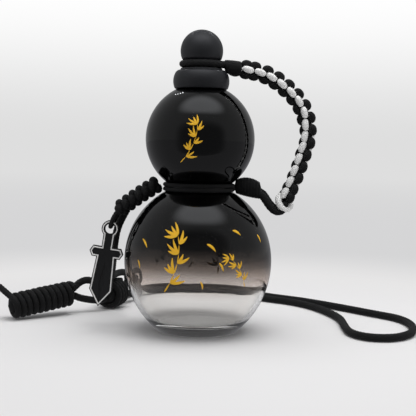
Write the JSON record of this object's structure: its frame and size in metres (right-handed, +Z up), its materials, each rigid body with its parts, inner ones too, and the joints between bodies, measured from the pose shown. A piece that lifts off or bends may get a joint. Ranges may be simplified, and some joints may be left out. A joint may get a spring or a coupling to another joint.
{
  "type": "gourd water bottle",
  "caption": "Gourd-shaped glass water bottle with a screw cap on a cord loop, a braided cord handle, a hanging charm and a knotted shoulder strap lying round it.",
  "frame": {"origin": "centre of the flat base, on the surface that the bottle stands on", "axes": "+Z up along the bottle's axis, +X towards the handle, -Y towards the viewer"},
  "size_m": [0.3292, 0.2458, 0.2248],
  "materials": {
    "tinted_glass": "polished glass, sprayed black from the top and fading to clear at the foot",
    "cap_plastic": "satin moulded plastic",
    "liner_plastic": "plain moulded plastic",
    "gasket_silicone": "soft silicone",
    "black_cord": "braided polyester cord",
    "white_cord": "braided polyester cord",
    "black_thread": "waxed thread wrapping",
    "charm_rubber": "matte soft moulding",
    "charm_edging": "matte soft moulding"
  },
  "bodies": {
    "bottle": {"glass_body": "tinted_glass", "handle_white_strands": "white_cord", "handle_black_strands": "black_cord", "handle_end_collar": "white_cord", "handle_tail_cord": "black_cord", "waist_cord": "black_cord", "waist_knot_right": "black_thread", "hanger_knot_left": "black_cord", "hanger_loop": "black_cord", "strap_riser": "black_cord", "strap_leg_upper": "black_cord", "strap_leg_lower": "black_cord", "strap_main": "black_cord", "strap_end_knot": "black_cord", "strap_slider_knot": "black_cord"},
    "cap_tether": {"cap_loop": "black_cord", "cap_loop_whipping": "black_thread"},
    "cap": {"cap_shell": "cap_plastic", "cap_liner": "liner_plastic", "cap_gasket": "gasket_silicone"},
    "charm": {"pendant_charm": "charm_rubber", "pendant_edging": "charm_edging"}
  },
  "joints": [
    {"name": "cap_rise", "type": "slide", "parent": "bottle", "child": "cap_tether", "axis": [0, 0, 1], "range_m": [0, 0.006]},
    {"name": "cap_turn", "type": "hinge", "parent": "cap_tether", "child": "cap", "pos_m": [0, 0, 0.19], "axis": [0, 0, 1], "range_deg": [0, 540]},
    {"name": "charm_swing", "type": "hinge", "parent": "bottle", "child": "charm", "pos_m": [-0.0659, 0, 0.07726], "axis": [0, 1, 0], "range_deg": [0, 45]}
  ],
  "couplings": [
    {"joint": "cap_rise", "follows": "cap_turn", "m_per_rad": 0.00063662}
  ]
}
